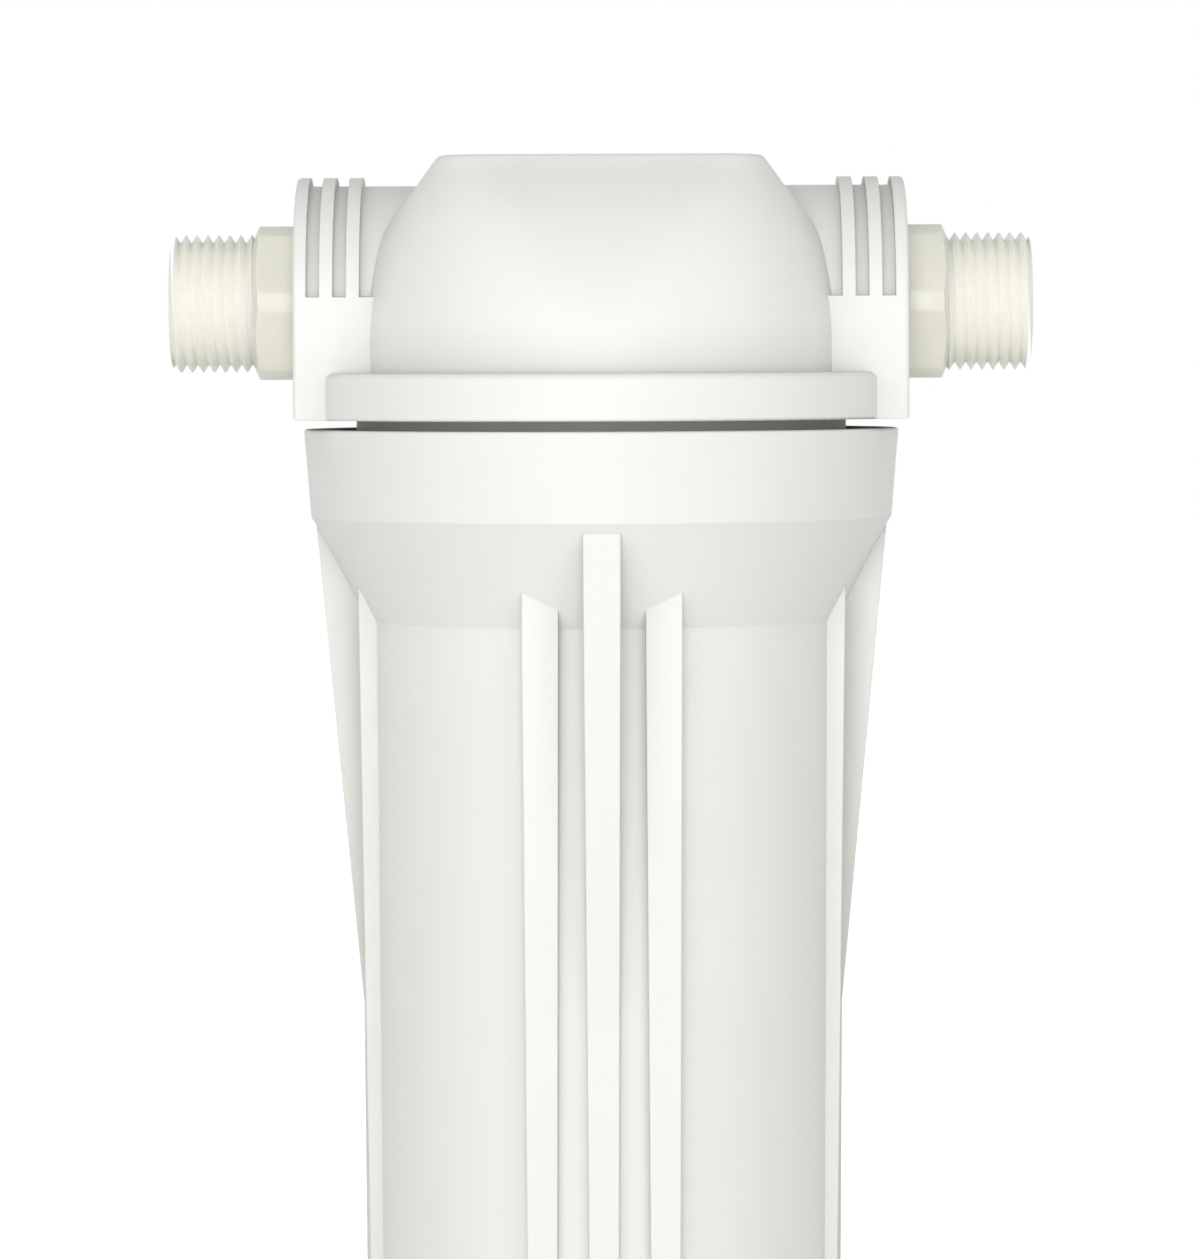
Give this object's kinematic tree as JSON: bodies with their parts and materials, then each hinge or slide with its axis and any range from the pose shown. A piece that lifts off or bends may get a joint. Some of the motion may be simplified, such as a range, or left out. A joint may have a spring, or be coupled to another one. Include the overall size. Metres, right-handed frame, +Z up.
{
  "type": "water prefilter",
  "caption": "Inline water prefilter: white ribbed bowl screwed to a domed cap with side ports and cream hex nipples, pleated cartridge inside.",
  "frame": {"origin": "centre of the bowl's flat foot, on the surface that the housing stands on", "axes": "+Z up along the bowl's axis towards the cap, +X along the ports towards the outlet"},
  "size_m": [0.1636, 0.1138, 0.3053],
  "materials": {
    "housing": "fine satin grain",
    "nipple": "satin",
    "seal": "matte",
    "gasket": "matte",
    "core": "satin",
    "media": "matte fibre",
    "end_cap": "satin"
  },
  "bodies": {
    "head": {"cap": "housing", "inlet_nipple": "nipple", "outlet_nipple": "nipple", "inlet_o_ring": "seal", "outlet_o_ring": "seal"},
    "seal": {"bowl_o_ring": "seal"},
    "bowl": {"bowl": "housing", "cartridge_core": "core", "pleat_pack": "media", "top_end_cap": "end_cap", "bottom_end_cap": "end_cap", "top_gasket": "gasket", "bottom_gasket": "gasket"}
  },
  "joints": [
    {"name": "bowl_travel", "type": "slide", "parent": "head", "child": "seal", "axis": [0, 0, -1], "range_m": [0, 0.01625]},
    {"name": "bowl_turn", "type": "hinge", "parent": "seal", "child": "bowl", "pos_m": [0, 0, 0.236], "axis": [0, 0, -1], "range_deg": [0, 1170]}
  ],
  "couplings": [
    {"joint": "bowl_travel", "follows": "bowl_turn", "m_per_rad": 0.00079577}
  ]
}
